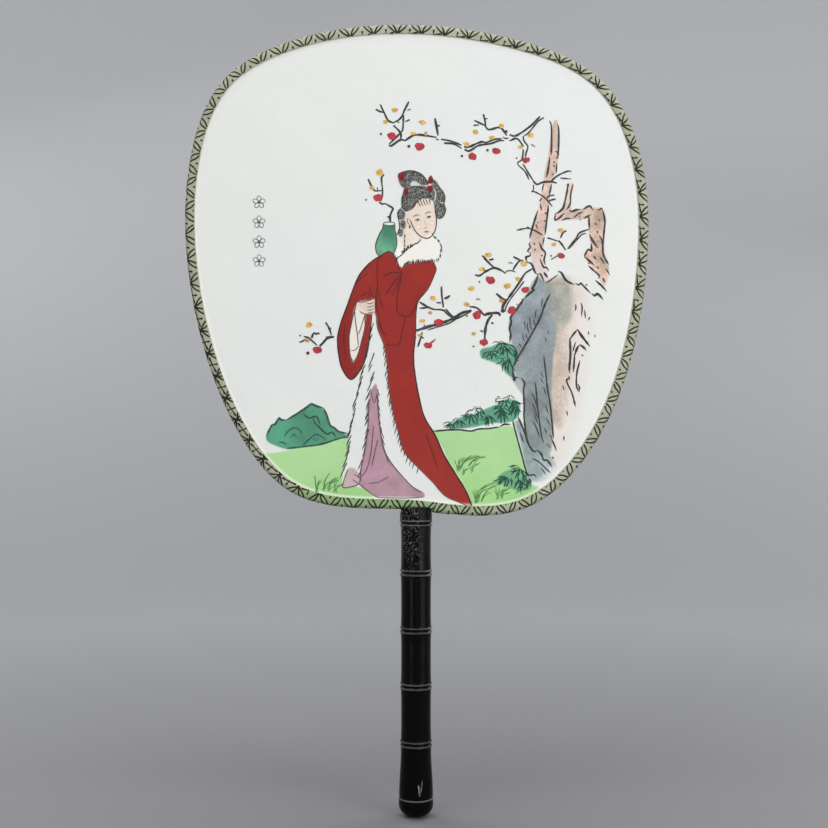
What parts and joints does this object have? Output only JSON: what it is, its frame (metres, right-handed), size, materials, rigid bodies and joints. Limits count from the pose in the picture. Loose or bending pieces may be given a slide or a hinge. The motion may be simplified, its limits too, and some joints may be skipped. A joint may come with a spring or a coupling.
{
  "type": "round hand fan",
  "caption": "Rigid round hand fan: silk on a bent wire hoop, bound with green patterned ribbon, on a straight black handle with bamboo-style joints.",
  "frame": {"origin": "on the handle's axis, halfway along the grip, where a hand holds the fan", "axes": "+Z along the handle towards the top of the blade, painted face towards -Y, +X to the right as the painted face is seen"},
  "size_m": [0.2455, 0.0184, 0.4193],
  "materials": {
    "steel_wire": "drawn wire, satin",
    "lining_card": "matt card",
    "painted_silk": "fine plain-weave silk with a soft sheen, painted in flat washes and ink lines",
    "plain_silk": "fine plain-weave silk with a soft sheen",
    "green_brocade": "sage green woven ribbon with fine black line pattern",
    "black_lacquer": "gloss black with light handling marks",
    "pale_wood": "sawn, unfinished"
  },
  "bodies": {
    "root": {"wire_hoop": "steel_wire", "panel_lining": "lining_card", "front_silk": "painted_silk", "back_silk": "plain_silk", "edge_binding": "green_brocade", "handle": "black_lacquer", "tang_wedge": "pale_wood", "butt_cap": "black_lacquer"}
  },
  "joints": []
}
